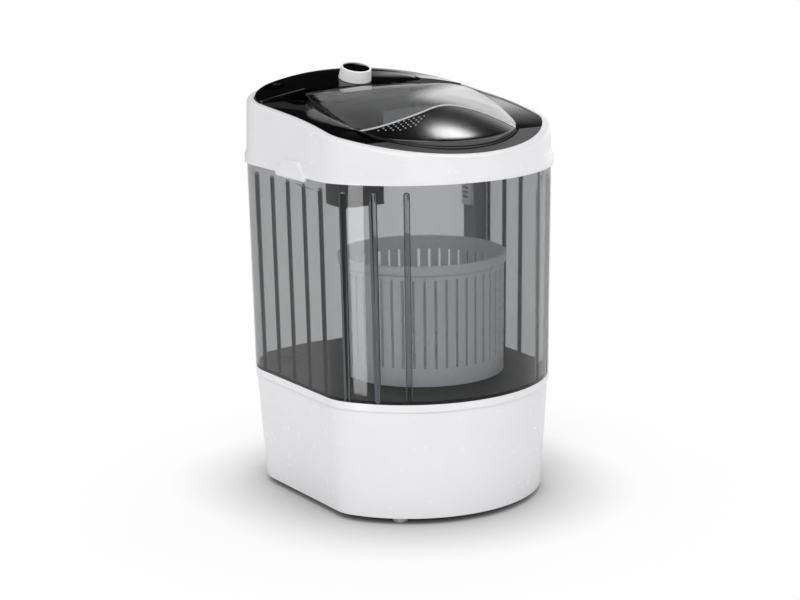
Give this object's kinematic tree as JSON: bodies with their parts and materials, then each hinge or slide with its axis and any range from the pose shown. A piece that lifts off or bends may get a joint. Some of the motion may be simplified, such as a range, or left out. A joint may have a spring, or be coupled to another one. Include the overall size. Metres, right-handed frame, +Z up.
{
  "type": "semi-automatic washing machine",
  "caption": "Small semi-automatic washing machine: smoky clear wash tub on a white base, lift-out spin basket, sloping black top with hinged lid and timer knob.",
  "frame": {"origin": "middle of the footprint, at the floor", "axes": "+Z up, front (the lid's handle edge) towards -Y, +X to the user's right when facing the machine from the front"},
  "size_m": [0.3292, 0.3692, 0.5238],
  "materials": {
    "white_shell": "glossy moulded",
    "white_matte": "fine satin",
    "tub_smoke": "smoky clear",
    "lid_clear": "smoky clear",
    "black_gloss": "high gloss",
    "black_satin": "satin",
    "silver_trim": "bright plated",
    "basket_white": "glossy moulded",
    "dark_plastic": "fine satin",
    "grey_plastic": "fine satin",
    "rubber_black": "matte",
    "rubber_grey": "matte",
    "steel": "bright",
    "zinc_plate": "zinc plated",
    "laminations": "dull",
    "die_cast": "as cast",
    "bronze": "sintered"
  },
  "bodies": {
    "cabinet": {"base_housing": "white_shell", "service_panel": "white_shell", "service_screws": "steel", "bottom_plate": "white_matte", "foot_front_left": "rubber_grey", "foot_front_right": "rubber_grey", "foot_rear_left": "rubber_grey", "foot_rear_right": "rubber_grey", "foot_screws": "steel", "tie_bolts": "steel", "wash_tub": "tub_smoke", "shaft_seal": "rubber_black", "chassis_plate": "zinc_plate", "chassis_screws": "steel", "bearing_housing": "die_cast", "bearing_screws": "steel", "lower_bearing": "steel", "upper_bearing": "steel", "motor_can": "zinc_plate", "motor_end_cap": "zinc_plate", "motor_bushes": "bronze", "motor_screws": "steel", "motor_stator": "laminations", "drive_belt": "rubber_black", "capacitor": "white_matte", "capacitor_strap": "zinc_plate", "drain_sump": "grey_plastic", "drain_spout": "grey_plastic", "cord_gland": "rubber_black", "collar": "white_shell", "control_panel": "black_gloss", "mouth_ring": "black_satin", "front_trim": "black_satin", "hinge_pin": "steel", "console_cover": "black_gloss", "timer_movement": "white_matte", "timer_screws": "steel", "timer_housing": "dark_plastic", "water_inlet": "grey_plastic", "overflow_duct": "grey_plastic", "lint_filter": "white_matte"},
    "drive": {"drive_shaft": "steel", "drive_pulley": "dark_plastic", "pulley_nut": "steel", "pulsator": "basket_white", "pulsator_screw": "steel"},
    "basket": {"spin_basket": "basket_white", "basket_rim": "basket_white", "basket_floor": "basket_white"},
    "rotor": {"motor_rotor": "laminations", "motor_shaft": "steel", "motor_pulley": "die_cast"},
    "lid": {"lid_dome": "lid_clear", "lid_trim": "silver_trim", "lid_visor": "black_gloss", "grip_pips": "grey_plastic"},
    "knob": {"timer_knob": "white_shell", "knob_cap": "black_gloss", "timer_spindle": "steel"}
  },
  "joints": [
    {"name": "lid_hinge", "type": "hinge", "parent": "cabinet", "child": "lid", "pos_m": [0, 0.095, 0.49394], "axis": [-1, 0, 0], "range_deg": [0, 78]},
    {"name": "drive_spin", "type": "hinge", "parent": "cabinet", "child": "drive", "pos_m": [0, -0.034, 0.1], "axis": [0, 0, 1], "continuous": true},
    {"name": "motor_spin", "type": "hinge", "parent": "cabinet", "child": "rotor", "pos_m": [0, 0.078, 0.09], "axis": [0, 0, 1], "continuous": true},
    {"name": "basket_lift", "type": "slide", "parent": "drive", "child": "basket", "axis": [0, 0, 1], "range_m": [0, 0.12]},
    {"name": "timer_turn", "type": "hinge", "parent": "cabinet", "child": "knob", "pos_m": [0, 0.121, 0.504], "axis": [0, 0.2588, -0.9659], "range_deg": [0, 300]}
  ],
  "couplings": [
    {"joint": "motor_spin", "follows": "drive_spin", "ratio": 4.75}
  ]
}
